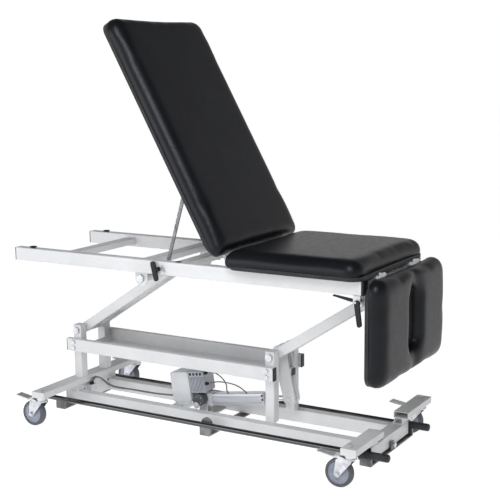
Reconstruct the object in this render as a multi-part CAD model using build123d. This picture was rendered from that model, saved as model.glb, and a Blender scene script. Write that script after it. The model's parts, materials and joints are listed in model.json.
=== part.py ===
from build123d import *
import math
import os

# Three-section examination couch with a parallelogram lift.
# Millimetres, +Z up, +X towards the hanging head section, +Y to the far side.
# The origin is on the floor under the centre of the couch.

# ---- driving dimensions ----
COUCH_WIDTH = 610.0
CUSHION_THICKNESS = 65.0
BOARD_THICKNESS = 12.0
CUSHION_BOTTOM = 704.0
CENTRE_SECTION = (188.0, 726.0)
BACK_LENGTH = 965.0
HEAD_LENGTH = 392.0
BACK_RAISED = 61.0
BACK_HINGE = (180.0, 740.0)
HINGE_PIN_RADIUS = 5.0
HEAD_HINGE = (744.0, 710.0)

RAIL_HEIGHT = 50.8
WALL = 2.6
TOP_RAIL_BOTTOM = 651.6
TOP_RAIL_Y = (217.4, 255.4)
TOP_RAIL_X = (-799.0, 707.5)

ARM_LENGTH = 508.0
ARM_ANGLE = 33.05
LEFT_PIVOT = (-633.0, 347.0)
RIGHT_PIVOT = (268.5, 347.0)
ARM_Y = (33.0, 58.0)
ARM_HEIGHT = 38.0
SHAFT_RADIUS = 10.0
SLEEVE_RADIUS = 17.0
RUNNING_CLEARANCE = 0.08
OPEN_PIVOT_CLEARANCE = 1.0

POST_Y = (60.0, 98.0)
POST_WIDTH = 38.0
POST_TOP = 366.0
MID_RAIL_Y = (98.4, 123.4)
MID_RAIL_BOTTOM = 264.6
MID_RAIL_X = (-664.4, 296.0)
LOWER_RAIL_Y = (87.6, 125.6)
LOWER_RAIL_Z = (48.0, 98.0)
LOWER_RAIL_X = (-675.0, 661.6)

BAR_Y = 186.9
BAR_Z = 77.6
BAR_RADIUS = 10.5
GRIP_RADIUS = 14.0
BAR_X = (-719.0, 788.0)
GRIP_START = 668.0
ROCKER_Z = 60.0
STRAP_Z = (37.0, 42.0)

WHEEL_RADIUS = 51.0
WHEEL_WIDTH = 30.0
CASTER_TRAIL = 39.0
STEM_RADIUS = 6.0
AXLE_RADIUS = 5.0
PEDAL_PIN = (32.0, 109.5)
PIN_CLEARANCE = 0.06
CASTER_PLACES = {
    "left_near": (-645.0, -315.0),
    "left_far": (-645.0, 315.0),
    "right_near": (700.0, -315.0),
    "right_far": (700.0, 315.0),
}

ACTUATOR_PIVOT = (-75.0, 114.0)
LEVER_PIN = (310.0, 172.0)
HOUSING_WIDTH = 46.0
ROD_RADIUS = 11.0

STRUT_PIVOT = (-143.0, 694.0)
STRUT_CATCH = (-116.0, 668.0)
STRUT_LENGTH = 375.0
STRUT_Y = (187.0, 193.0)
STRUT_RADIUS = 6.5
NOTCH_RADIUS = 2.6
STRUT_GUIDE_Z = (652.0, 682.0)
BACK_LEVER_PIVOT = (-104.0, 674.0)
BACK_LEVER_HANDLE = ((-124.0, 693.5), (-111.0, 638.0))
HEAD_LEVER_PIVOT = (694.0, 630.0)
HEAD_LEVER_TIP = (708.0, 556.0)
HEAD_PULL_ROD_END = (604.0, 643.0)
CABLE_DIAMETER = 6.0


def block(x, y, z):
    """A box between two limits on each axis."""
    size = [pair[1] - pair[0] for pair in (x, y, z)]
    middle = [(pair[1] + pair[0]) / 2 for pair in (x, y, z)]
    return Pos(*middle) * Box(*size)


def both_sides(shape):
    """The shape and its mirror image on the other side of the couch."""
    return Compound(children=[*shape.solids(), *mirror(shape, about=Plane.XZ).solids()])


def group(*shapes):
    """Separate solids kept together in one node."""
    return Compound(children=[solid for shape in shapes for solid in shape.solids()])


def tube(start, end, across, width, height, wall=WALL, radius=3.0):
    """A rectangular tube with rounded corners, from start to end."""
    run = Vector(*end) - Vector(*start)
    plane = Plane(origin=start, x_dir=across, z_dir=run.normalized())
    section = RectangleRounded(width, height, radius)
    section -= RectangleRounded(width - 2 * wall, height - 2 * wall, max(radius - wall, 0.4))
    return extrude(plane * section, amount=run.length)


def rail_along_x(x, y, z):
    """A rectangular tube along X that fills the given limits."""
    across = y[1] - y[0]
    up = z[1] - z[0]
    middle_y = (y[0] + y[1]) / 2
    middle_z = (z[0] + z[1]) / 2
    return tube((x[0], middle_y, middle_z), (x[1], middle_y, middle_z), (0, 1, 0), across, up)


def rail_along_y(x, y, z):
    """A rectangular tube along Y that fills the given limits."""
    middle_x = (x[0] + x[1]) / 2
    middle_z = (z[0] + z[1]) / 2
    return tube((middle_x, y[0], middle_z), (middle_x, y[1], middle_z), (1, 0, 0),
                x[1] - x[0], z[1] - z[0])


def rod_y(x, z, y, radius):
    """A round bar along Y."""
    return extrude(Plane(origin=(x, y[0], z), z_dir=(0, 1, 0)) * Circle(radius), amount=y[1] - y[0])


def rod_x(y, z, x, radius):
    """A round bar along X."""
    return extrude(Plane(origin=(x[0], y, z), z_dir=(1, 0, 0)) * Circle(radius), amount=x[1] - x[0])


def rod_z(x, y, z, radius):
    """A round bar along Z."""
    return extrude(Plane(origin=(x, y, z[0])) * Circle(radius), amount=z[1] - z[0])


def strap_xz(ends, radii, y):
    """A plate in the XZ plane whose two ends are round, with straight sides between them."""
    (ax, az), (bx, bz) = ends
    length = math.hypot(bx - ax, bz - az)
    across = Vector((bx - ax) / length, 0, (bz - az) / length)
    first = Circle(radii[0]).edges()
    last = (Pos(length, 0) * Circle(radii[1])).edges()
    outline = make_face(make_hull([*first, *last]).edges())
    plane = Plane(origin=(ax, y[1], az), x_dir=across, z_dir=(0, -1, 0))
    return extrude(plane * outline, amount=y[1] - y[0])


def hex_head(x, y, z, direction, across_flats, thickness):
    """A hexagonal bolt head or nut that stands on a face."""
    plane = Plane(origin=(x, y, z), z_dir=direction)
    return extrude(plane * RegularPolygon(across_flats / 2, 6, major_radius=False), amount=thickness)


def turned(shape, hinge, degrees):
    """The shape turned about a hinge line along Y; a positive angle turns +X towards -Z."""
    return shape.rotate(Axis((hinge[0], 0, hinge[1]), (0, 1, 0)), degrees)


def along(start, degrees, distance):
    """The point at a distance from start, in the XZ plane."""
    angle = math.radians(degrees)
    return (start[0] + distance * math.cos(angle), start[1] + distance * math.sin(angle))


nodes = {}
LEFT_TOP = along(LEFT_PIVOT, ARM_ANGLE, ARM_LENGTH)
RIGHT_TOP = along(RIGHT_PIVOT, ARM_ANGLE, ARM_LENGTH)
TOP_RAIL_TOP = TOP_RAIL_BOTTOM + RAIL_HEIGHT
TOP_RAIL_Z = (TOP_RAIL_BOTTOM, TOP_RAIL_TOP)
MID_RAIL_Z = (MID_RAIL_BOTTOM, MID_RAIL_BOTTOM + RAIL_HEIGHT)


# ---- base frame ----
def base_frame():
    """Floor frame: two long rails, a flat tube at the left and a square one at the right."""
    outrigger_z = (122.4, 147.4)
    nodes["lower_rails"] = both_sides(rail_along_x(LOWER_RAIL_X, LOWER_RAIL_Y, LOWER_RAIL_Z))
    left_end = block((-671.9, -609.1), (340.1, 343.0), (122.5, 147.3))
    left_tube = rail_along_y((-672.0, -609.0), (-340.0, 340.0), outrigger_z)
    nodes["left_cross_tube"] = group(left_tube, both_sides(left_end))
    end_plate = block((-625.0, -619.0), (-87.0, 87.0), (50.0, 122.0))
    for y in (-40.0, 40.0):
        end_plate -= rod_x(y, 100.0, (-630.0, -610.0), 5.0)
    nodes["left_end_plate"] = end_plate
    saddles = block((-668.0, -613.0), (88.0, 125.0), (98.2, 122.2))
    nodes["right_cross_tube"] = rail_along_y((662.0, 712.0), (-168.0, 168.0), (48.0, 98.0))
    outrigger = rail_along_y((676.0, 734.0), (112.0, 340.0), outrigger_z)
    riser = rail_along_y((680.0, 712.0), (110.0, 160.0), (98.2, 122.2))
    right_end = block((676.1, 733.9), (340.1, 343.0), (122.5, 147.3))
    nodes["right_outriggers"] = both_sides(group(outrigger, right_end))
    nodes["riser_blocks"] = both_sides(group(saddles, riser))
    cross_cap = block((662.5, 711.5), (168.2, 170.5), (48.5, 97.5))
    rail_cap = block((-677.5, -675.2), (88.0, 125.2), (48.5, 97.5))
    mid_caps = [block((x0, x0 + 3.0), (MID_RAIL_Y[0] + 0.5, MID_RAIL_Y[1] - 0.5),
                      (MID_RAIL_Z[0] + 0.5, MID_RAIL_Z[1] - 0.5))
                for x0 in (MID_RAIL_X[0] - 3.2, MID_RAIL_X[1] + 0.2)]
    caps = (cross_cap, rail_cap, *mid_caps)
    nodes["base_tube_caps"] = group(*[both_sides(cap) for cap in caps])
    for x, y in CASTER_PLACES.values():
        tube_name = "left_cross_tube" if x < 0 else "right_outriggers"
        nodes[tube_name] = nodes[tube_name] - rod_z(x, y, (110.0, 160.0), STEM_RADIUS + 0.3)


def posts_and_shelf():
    """Four posts, two rails bolted to their outer faces, and the tray between the rails."""
    posts = []
    for pivot, foot in ((LEFT_PIVOT, 147.6), (RIGHT_PIVOT, 98.2)):
        middle = pivot[0] + 1.0
        post = tube((middle, sum(POST_Y) / 2, foot), (middle, sum(POST_Y) / 2, POST_TOP),
                    (1, 0, 0), POST_WIDTH, POST_Y[1] - POST_Y[0])
        post -= rod_y(pivot[0], pivot[1], (POST_Y[0] - 5, POST_Y[1] + 5), SHAFT_RADIUS + RUNNING_CLEARANCE)
        top = block((pivot[0] - 17.9, pivot[0] + 19.9), (POST_Y[0] + 0.1, POST_Y[1] - 0.1),
                    (POST_TOP + 0.1, POST_TOP + 3.0))
        posts += [post, top]
    nodes["posts"] = both_sides(group(*posts))
    nodes["mid_rails"] = both_sides(rail_along_x(MID_RAIL_X, MID_RAIL_Y, MID_RAIL_Z))
    edge = MID_RAIL_Y[0] - 0.4
    shelf = block((-610.0, 248.0), (-edge, edge), (266.0, 268.0))
    shelf += block((-610.0, -608.0), (-edge, edge), (268.0, 288.0))
    shelf -= block((195.0, 260.0), (-45.0, 45.0), (260.0, 290.0))
    nodes["shelf_tray"] = shelf
    shafts = [rod_y(pivot[0], pivot[1], (-POST_Y[1] - 1.0, POST_Y[1] + 1.0), SHAFT_RADIUS)
              for pivot in (LEFT_PIVOT, RIGHT_PIVOT)]
    heads = [hex_head(pivot[0], side * (POST_Y[1] + 1.2), pivot[1], (0, side, 0), 26.0, 8.0)
             for pivot in (LEFT_PIVOT, RIGHT_PIVOT) for side in (-1, 1)]
    nodes["lower_pivot_shafts"] = group(*shafts)
    bolts = [hex_head(x, side * (MID_RAIL_Y[1] + 0.2), z, (0, side, 0), 16.0, 5.5)
             for x in (LEFT_PIVOT[0] + 1.0, RIGHT_PIVOT[0] + 1.0)
             for z in (278.0, 302.0) for side in (-1, 1)]
    nodes["post_bolts"] = group(*bolts, *heads)


# ---- lift arms ----
def lift_arms():
    """Two pairs of equal arms; each pair is welded to a sleeve at either end."""
    for name, pivot, top, play in (("left", LEFT_PIVOT, LEFT_TOP, RUNNING_CLEARANCE),
                                   ("right", RIGHT_PIVOT, RIGHT_TOP, OPEN_PIVOT_CLEARANCE)):
        arm = tube((pivot[0], sum(ARM_Y) / 2, pivot[1]), (top[0], sum(ARM_Y) / 2, top[1]),
                   (0, 1, 0), ARM_Y[1] - ARM_Y[0], ARM_HEIGHT)
        for x, z in (pivot, top):
            arm -= rod_y(x, z, (0.0, 80.0), SLEEVE_RADIUS + 0.05)
        arm = max(arm.solids(), key=lambda solid: solid.volume)
        nodes[f"{name}_arm_sides"] = both_sides(arm)
        lower = rod_y(pivot[0], pivot[1], (-POST_Y[0] + 1.0, POST_Y[0] - 1.0), SLEEVE_RADIUS)
        lower -= rod_y(pivot[0], pivot[1], (-70.0, 70.0), SHAFT_RADIUS + RUNNING_CLEARANCE)
        upper = rod_y(top[0], top[1], (-221.0, 221.0), SLEEVE_RADIUS)
        upper -= rod_y(top[0], top[1], (-230.0, 230.0), SHAFT_RADIUS + play)
        brace_at = along(pivot, ARM_ANGLE, 120.0 if name == "left" else 330.0)
        brace_y = ARM_Y[0] - 0.2
        slope = math.radians(ARM_ANGLE)
        brace = tube((brace_at[0], -brace_y, brace_at[1]), (brace_at[0], brace_y, brace_at[1]),
                     (math.cos(slope), 0, math.sin(slope)), 38.0, 25.0)
        nodes[f"{name}_arm_sleeves"] = group(lower, upper, brace)


def lift_lever():
    """Two lever plates that hang from the right arm's sleeve and take the actuator's push.

    Each plate has its own short bolt, and the rod's eye lies free between the plates.
    """
    plate = strap_xz((RIGHT_PIVOT, LEVER_PIN), (30.0, 24.0), (16.0, 22.0))
    plate -= rod_y(RIGHT_PIVOT[0], RIGHT_PIVOT[1], (10.0, 30.0), SLEEVE_RADIUS + 0.05)
    plate -= rod_y(LEVER_PIN[0], LEVER_PIN[1], (10.0, 30.0), 6.2)
    bolt = rod_y(LEVER_PIN[0], LEVER_PIN[1], (16.0, 22.2), 6.0)
    head = hex_head(LEVER_PIN[0], 22.2, LEVER_PIN[1], (0, 1, 0), 19.0, 7.0)
    spacer_x, spacer_z = 292.0, 276.0
    spacer = tube((spacer_x - 12.0, 0, spacer_z), (spacer_x + 24.0, 0, spacer_z), (0, 1, 0), 31.6, 28.0)
    nodes["lift_lever_plates"] = group(both_sides(plate), spacer, both_sides(bolt + head))


# ---- top frame ----
def top_frame():
    """Two long rails, flat cross tubes between them, and the brackets that hang to the arms."""
    nodes["top_rail_near"] = rail_along_x(TOP_RAIL_X, (-TOP_RAIL_Y[1], -TOP_RAIL_Y[0]), TOP_RAIL_Z)
    nodes["top_rail_far"] = rail_along_x(TOP_RAIL_X, TOP_RAIL_Y, TOP_RAIL_Z)
    cross_y = (-TOP_RAIL_Y[0] + 0.2, TOP_RAIL_Y[0] - 0.2)
    cross = [rail_along_y((x, x + 50.0), cross_y, (z, z + 25.0))
             for x, z in ((-602.0, 665.0), (-235.0, 667.0), (-88.0, 665.0), (150.0, 667.0), (655.0, 667.0))]
    guides = [block((-140.0, -88.2), y, STRUT_GUIDE_Z) for y in ((180.0, 185.0), (195.0, 200.0))]
    nodes["top_cross_tubes"] = group(*cross, both_sides(group(*guides)), hinge_ears())
    cap_x = ((TOP_RAIL_X[0] - 4.0, TOP_RAIL_X[0] - 0.2), (TOP_RAIL_X[1] + 0.2, TOP_RAIL_X[1] + 8.2))
    cap_y = (TOP_RAIL_Y[0] + 0.4, TOP_RAIL_Y[1] - 0.4)
    caps = [block(x, cap_y, (TOP_RAIL_Z[0] + 0.4, TOP_RAIL_Z[1] - 0.4)) for x in cap_x]
    nodes["top_rail_caps"] = both_sides(group(*caps))
    brackets = []
    for x, z in (LEFT_TOP, RIGHT_TOP):
        shape = block((x - 27.0, x + 27.0), (222.4, 228.4), (z, TOP_RAIL_BOTTOM - 0.2))
        shape += rod_y(x, z, (222.4, 228.4), 27.0)
        shape -= rod_y(x, z, (215.0, 235.0), SHAFT_RADIUS + RUNNING_CLEARANCE)
        brackets.append(shape)
    nodes["arm_brackets"] = both_sides(group(*brackets))
    shafts = [rod_y(x, z, (-229.0, 229.0), SHAFT_RADIUS) for x, z in (LEFT_TOP, RIGHT_TOP)]
    heads = [hex_head(x, side * 229.2, z, (0, side, 0), 26.0, 8.0)
             for x, z in (LEFT_TOP, RIGHT_TOP) for side in (-1, 1)]
    nodes["upper_pivot_shafts"] = group(*shafts, *heads)
    middle = sum(TOP_RAIL_Y) / 2
    bumper = rod_z(-724.0, middle, (TOP_RAIL_TOP + 0.1, TOP_RAIL_TOP + 7.0), 13.0)
    low_bumper = rod_z(-32.0, middle, (TOP_RAIL_TOP + 0.1, TOP_RAIL_TOP + 2.4), 10.0)
    nodes["rail_bumpers"] = both_sides(group(bumper, low_bumper))


def hinge_ears():
    """Ears on the top frame that carry the hinge pins of the back and head sections."""
    x, z = BACK_HINGE
    back_ear = block((x - 9.0, x + 9.0), (192.0, 197.0), (692.2, z)) + rod_y(x, z, (192.0, 197.0), 9.0)
    back_pin = rod_y(x, z, (186.0, 192.0), HINGE_PIN_RADIUS) + rod_y(x, z, (182.0, 185.8), 8.0)
    x, z = HEAD_HINGE
    head_ear = block((658.0, x - 4.0), (146.0, 151.0), (692.2, 703.6)) + rod_y(x, z, (146.0, 151.0), 8.0)
    head_ear += block((728.0, x), (146.0, 151.0), (692.2, 712.0))
    head_pin = rod_y(x, z, (151.0, 157.2), HINGE_PIN_RADIUS) + rod_y(x, z, (157.2, 160.0), 7.0)
    return both_sides(group(back_ear + back_pin, head_ear + head_pin))


def cushion(x, y, z, corners, edge):
    """A plain pad with a rounded top edge; corners are the plan radii at its low and high X ends."""
    outline = Rectangle(x[1] - x[0], y[1] - y[0])
    for end, radius in zip((0, -1), corners):
        outline = fillet(outline.vertices().group_by(Axis.X)[end], radius)
    pad = extrude(outline, amount=z[1] - z[0])
    pad = fillet(pad.faces().sort_by(Axis.Z)[-1].edges(), edge)
    return Pos((x[0] + x[1]) / 2, (y[0] + y[1]) / 2, z[0]) * pad


def board(x, corner=46.0, margin=14.0):
    """A section's board, narrower than its pad by a margin, with rounded corners."""
    depth = COUCH_WIDTH - 2 * margin
    outline = RectangleRounded(x[1] - x[0], depth, corner)
    return Pos((x[0] + x[1]) / 2, 0, CUSHION_BOTTOM) * extrude(outline, amount=BOARD_THICKNESS)


def sections():
    """Centre, back and head sections, each a board with a pad on it."""
    half = COUCH_WIDTH / 2
    low = CUSHION_BOTTOM
    high = low + CUSHION_THICKNESS
    board_top = low + BOARD_THICKNESS
    x0, x1 = CENTRE_SECTION
    pocket = both_sides(block((x0 - 1, x0 + 8), (178.0, 202.0), (board_top - 1, BACK_HINGE[1] + 12.0)))
    pad = cushion((x0, x1), (-half, half), (board_top + 0.2, high), (22.0, 45.0), 24.0)
    nodes["centre_cushion"] = pad - pocket
    nodes["centre_board"] = board((x0 + 14, x1 - 10))

    back_x = (BACK_HINGE[0] - 10.0 - BACK_LENGTH, BACK_HINGE[0] - 10.0)
    pad = cushion(back_x, (-half, half), (board_top + 0.2, high), (50.0, 22.0), 24.0)
    nodes["back_cushion"] = turned(pad, BACK_HINGE, BACK_RAISED)
    nodes["back_board"] = turned(board((back_x[0] + 14, back_x[1] - 14)), BACK_HINGE, BACK_RAISED)

    head_x = (HEAD_HINGE[0] - 12.0, HEAD_HINGE[0] - 12.0 + HEAD_LENGTH)
    pad = cushion(head_x, (-half, half), (board_top + 0.2, high), (50.0, 50.0), 20.0)
    hinge_room = block((head_x[0] - 1, HEAD_HINGE[0] + 12), (140.0, 164.0), (board_top - 1, board_top + 6))
    pad -= both_sides(hinge_room)
    slot_middle = head_x[0] + 188.0
    slot = extrude(Pos(slot_middle, 0, low - 5) * SlotOverall(256.0, 104.0), amount=90.0)
    nodes["head_cushion"] = turned(pad - slot, HEAD_HINGE, 90.0)
    nodes["head_board"] = turned(board((head_x[0] + 32, head_x[1] - 14)) - slot, HEAD_HINGE, 90.0)


def section_hinges():
    """Hinge arms under the back and head boards, and the notched struts that prop the back."""
    x, z = BACK_HINGE
    arm_y = (186.2, 191.8)
    arm = block((60.0, x + 8.0), arm_y, (693.0, 703.8))
    arm += block((x - 8.0, x + 8.0), arm_y, (693.0, z)) + rod_y(x, z, arm_y, 9.0)
    arm -= rod_y(x, z, (180.0, 200.0), HINGE_PIN_RADIUS + PIN_CLEARANCE)
    px, pz = STRUT_PIVOT
    lug = Part()
    for y in ((180.0, 185.5), (194.5, 200.0)):
        lug += block((px - 9.0, px + 9.0), y, (pz, 703.8)) + rod_y(px, pz, y, 9.0)
    lug += rod_y(px, pz, (180.0, 200.0), 4.0)
    raised = [turned(piece, BACK_HINGE, BACK_RAISED) for piece in (arm, lug)]
    nodes["back_hinge_arms"] = both_sides(group(*raised))

    top = raised_strut_pivot()
    angle = math.degrees(math.atan2(STRUT_CATCH[1] - top[1], STRUT_CATCH[0] - top[0]))
    strut = strap_xz((top, along(top, angle, STRUT_LENGTH)), (STRUT_RADIUS, STRUT_RADIUS), STRUT_Y)
    strut -= rod_y(top[0], top[1], (180.0, 200.0), 4.0 + PIN_CLEARANCE)
    for step in range(9):
        notch = along(along(top, angle, STRUT_LENGTH - 60.0 - 24.0 * step), angle - 90.0, STRUT_RADIUS)
        strut -= rod_y(notch[0], notch[1], (180.0, 200.0), NOTCH_RADIUS)
    nodes["back_struts"] = both_sides(strut)

    x, z = HEAD_HINGE
    leaf = block((x - 16.0, x - 6.2), (151.2, 157.0), (600.0, z)) + rod_y(x, z, (151.2, 157.0), 8.0)
    leaf += block((x - 16.0, x), (151.2, 157.0), (z - 8.0, z + 6.0))
    leaf -= rod_y(x, z, (145.0, 165.0), HINGE_PIN_RADIUS + PIN_CLEARANCE)
    nodes["head_hinge_arms"] = both_sides(leaf)


def raised_strut_pivot():
    """The strut's pivot when the back section is raised."""
    turn = math.radians(BACK_RAISED)
    dx = STRUT_PIVOT[0] - BACK_HINGE[0]
    dz = STRUT_PIVOT[1] - BACK_HINGE[1]
    return (BACK_HINGE[0] + dx * math.cos(turn) + dz * math.sin(turn),
            BACK_HINGE[1] - dx * math.sin(turn) + dz * math.cos(turn))


def release_levers():
    """The hand lever that frees the struts, and the one that frees the head section."""
    x, z = BACK_LEVER_PIVOT
    lever = strap_xz(BACK_LEVER_HANDLE, (9.5, 9.0), (-272.0, -264.0))
    lever += strap_xz(((x, z), (-118.0, 670.0)), (8.0, 7.0), (-266.0, -259.0))
    lever += rod_y(x, z, (-262.0, -203.0), 5.0)
    nodes["back_release_lever"] = lever
    nodes["top_rail_near"] = nodes["top_rail_near"] - rod_y(x, z, (-260.0, -210.0), 5.0 + PIN_CLEARANCE)
    x, z = HEAD_LEVER_PIVOT
    lever = strap_xz(((x + 4.0, z), HEAD_LEVER_TIP), (9.0, 8.0), (-272.0, -263.0))
    lever += rod_y(x, z, (-266.0, -243.0), 4.0)
    lever += strap_xz(((x, z), HEAD_PULL_ROD_END), (6.0, 3.5), (-249.0, -243.0))
    nodes["head_release_lever"] = lever
    ear = block((x - 13.0, x + 13.0), (-261.0, -257.0), (z - 10.0, TOP_RAIL_BOTTOM - 0.2))
    ear += block((x - 13.0, x + 13.0), (-261.0, -252.0), (TOP_RAIL_BOTTOM - 4.0, TOP_RAIL_BOTTOM - 0.2))
    ear -= rod_y(x, z, (-265.0, -250.0), 4.0 + PIN_CLEARANCE)
    nodes["arm_brackets"] = group(nodes["arm_brackets"], ear)


# ---- foot bars ----
def foot_bars():
    """Two long bars joined by three straps; they rock about a line along X."""
    bar = rod_x(BAR_Y, BAR_Z, (BAR_X[0], BAR_X[1] - 3.0), BAR_RADIUS)
    grip = rod_x(BAR_Y, BAR_Z, (GRIP_START, BAR_X[1]), GRIP_RADIUS)
    grip -= rod_x(BAR_Y, BAR_Z, (GRIP_START - 1, BAR_X[1] - 2.8), BAR_RADIUS + 0.1)
    nodes["foot_bars"] = both_sides(bar)
    nodes["bar_grips"] = both_sides(grip)
    straps = []
    for x, ear_x in ((-655.0, (-652.0, -647.0)), (40.0, None), (700.0, (716.0, 721.0))):
        outer = 192.0
        strap = block((x - 22.0, x + 22.0), (-outer, outer), STRAP_Z)
        for side in (-1, 1):
            upright_y = (side * BAR_Y - 5.0, side * BAR_Y + 5.0)
            strap += block((x - 22.0, x + 22.0), upright_y, (STRAP_Z[0], BAR_Z - 4.0))
            if not ear_x:
                arch_y = sorted((side * (BAR_Y - 16.5), side * (BAR_Y - 10.9)))
                strap += strap_xz(((x, BAR_Z + 2.0), (x, STRAP_Z[1] + 20.0)), (24.0, 22.0), arch_y)
            radius = GRIP_RADIUS if x > GRIP_START else BAR_RADIUS
            strap -= rod_x(side * BAR_Y, BAR_Z, (x - 40.0, x + 40.0), radius + 0.1)
        if ear_x:
            strap += block(ear_x, (-13.0, 13.0), (STRAP_Z[0], ROCKER_Z + 12.0))
            strap -= rod_x(0.0, ROCKER_Z, (ear_x[0] - 5.0, ear_x[1] + 5.0), 5.0 + PIN_CLEARANCE)
        straps.append(strap)
    nodes["rocker_straps"] = group(*straps)
    left = rod_x(0.0, ROCKER_Z, (-660.0, -625.2), 5.0) + rod_x(0.0, ROCKER_Z, (-664.0, -660.0), 9.0)
    right = rod_x(0.0, ROCKER_Z, (712.2, 728.0), 5.0) + rod_x(0.0, ROCKER_Z, (728.0, 732.0), 9.0)
    nodes["rocker_pivots"] = group(left, right)
    nodes["bar_switch"] = block((-618.8, -594.0), (-66.0, -30.0), (84.0, 110.0))


# ---- lifting actuator ----
def actuator():
    """A square-housed linear actuator with its gear motor, control box and sliding rod."""
    x0, z0 = ACTUATOR_PIVOT
    tilt = math.degrees(math.atan2(LEVER_PIN[1] - z0, LEVER_PIN[0] - x0))
    reach = math.hypot(LEVER_PIN[0] - x0, LEVER_PIN[1] - z0)

    def placed(shape):
        return turned(shape, ACTUATOR_PIVOT, -tilt)

    half = HOUSING_WIDTH / 2
    housing = block((x0 + 22.0, x0 + 280.0), (-half, half), (z0 - half, z0 + half))
    housing = fillet(housing.edges().filter_by(Axis.X), 4.0)
    eye_y = (-12.5, 12.5)
    housing += block((x0, x0 + 24.0), eye_y, (z0 - 12.0, z0 + 12.0)) + rod_y(x0, z0, eye_y, 12.0)
    housing -= rod_y(x0, z0, (-20.0, 20.0), 5.0 + PIN_CLEARANCE)
    housing -= rod_x(0.0, z0, (x0 + 30.0, x0 + 290.0), ROD_RADIUS + 0.08)
    nodes["actuator_housing"] = placed(housing)
    rod = rod_x(0.0, z0, (x0 + 120.0, x0 + reach - 10.0), ROD_RADIUS)
    rod += rod_y(x0 + reach, z0, (-10.0, 10.0), 14.0)
    rod -= rod_y(x0 + reach, z0, (-15.0, 15.0), 6.2)
    nodes["actuator_rod"] = placed(rod)
    nodes["actuator_motor"] = placed(rod_y(x0 + 4.0, z0 + 8.0, (-58.0, -24.0), 24.0))
    box = block((x0 - 113.0, x0 - 28.0), (-60.0, 40.0), (z0 + 2.0, z0 + 122.0))
    box += block((x0 - 28.0, x0 + 40.0), (-60.0, 20.0), (z0 + 36.0, z0 + 122.0))
    nodes["control_box"] = placed(box)

    inner = LOWER_RAIL_Y[0] - 0.2
    floor = block((-112.0, -38.0), (-inner, inner), (50.0, 56.0))
    ears = Part()
    for side in (-1, 1):
        ears += block((x0 - 18.0, x0 + 18.0), (side * 16.5 - 2.5, side * 16.5 + 2.5), (56.0, z0))
        ears += rod_y(x0, z0, (side * 16.5 - 2.5, side * 16.5 + 2.5), 18.0)
    mount = floor + ears + rod_y(x0, z0, (-21.0, 21.0), 5.0)
    nodes["actuator_mount"] = group(mount, rail_along_y((-228.0, -178.0), (-inner, inner), (48.2, 70.0)))


def cable_run(points):
    """A round cable along straight runs joined by arcs as large as the runs allow."""
    route = [Vector(*point) for point in points]
    runs = [after - before for before, after in zip(route, route[1:])]
    radii = []
    for before, after in zip(runs, runs[1:]):
        turn = math.radians(before.get_angle(after))
        radii.append(0.45 * min(before.length, after.length) / math.tan(turn / 2))
    path = FilletPolyline(*route, radius=radii)
    section = Plane(origin=route[0], z_dir=runs[0].normalized()) * Circle(CABLE_DIAMETER / 2)
    cable = sweep(section, path=path)
    expected = path.length * math.pi * (CABLE_DIAMETER / 2) ** 2
    print("cable length", round(path.length, 1), "volume ratio", round(cable.volume / expected, 4),
          "radii", [round(radius, 1) for radius in radii])
    return cable


def control_cables():
    """Two cables that run side by side from the bar switch to the control box."""
    near = [(-604, -54, 110.2), (-604, -54, 131), (-585, -53, 148), (-556, -52, 146), (-531, -51, 128),
            (-502, -50, 115), (-462, -49, 113), (-402, -48, 116), (-322, -48, 115), (-252, -47, 116),
            (-194, -46, 121)]
    far = [(-604, -42, 110.2), (-604, -42, 127), (-586, -41, 142), (-562, -40, 141), (-536, -39, 125),
           (-506, -38, 113), (-464, -37, 111), (-402, -37, 113), (-324, -36, 112), (-254, -36, 114),
           (-194, -36, 119)]
    nodes["control_cables"] = group(cable_run(near), cable_run(far))


# ---- casters ----
def casters():
    """Four swivel casters, each with a fork, a wheel and a brake pedal."""
    stems = []
    for name, (x, y) in CASTER_PLACES.items():
        stem = rod_z(x, y, (98.0, 147.4), STEM_RADIUS) + rod_z(x, y, (98.0, 103.4), 10.0)
        stem += rod_z(x, y, (114.2, 122.2), 22.0)
        nut = extrude(Plane(origin=(x, y, 147.6)) * RegularPolygon(9.5, 6, major_radius=False), amount=7.0)
        stems += [stem, nut]
        nodes[f"caster_fork_{name}"] = caster_fork(x, y)
        nodes[f"caster_wheel_{name}"] = caster_wheel(x - CASTER_TRAIL, y)
        nodes[f"brake_pedal_{name}"] = brake_pedal(x, y)
    nodes["caster_stems"] = group(*stems)


def caster_fork(x, y):
    """The swivel head, two side plates, the axle and the pedal's pin."""
    head = rod_z(x, y, (103.8, 108.0), 24.0) + rod_z(x, y, (108.0, 113.8), 20.0)
    head -= rod_z(x, y, (100.0, 118.0), STEM_RADIUS + PIN_CLEARANCE)
    axle_x = x - CASTER_TRAIL
    fork = head
    for side in (-1, 1):
        sides = sorted((y + side * 18.5, y + side * 21.5))
        plate = strap_xz(((axle_x, WHEEL_RADIUS), (x - 8.0, 96.0)), (11.0, 12.0), sides)
        plate += strap_xz(((x - PEDAL_PIN[0], PEDAL_PIN[1]), (x - 8.0, 96.0)), (6.0, 12.0), sides)
        fork += plate
    fork += rod_y(axle_x, WHEEL_RADIUS, (y - 25.0, y + 25.0), AXLE_RADIUS)
    fork += rod_y(x - PEDAL_PIN[0], PEDAL_PIN[1], (y - 20.0, y + 20.0), 3.0)
    return fork


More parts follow.
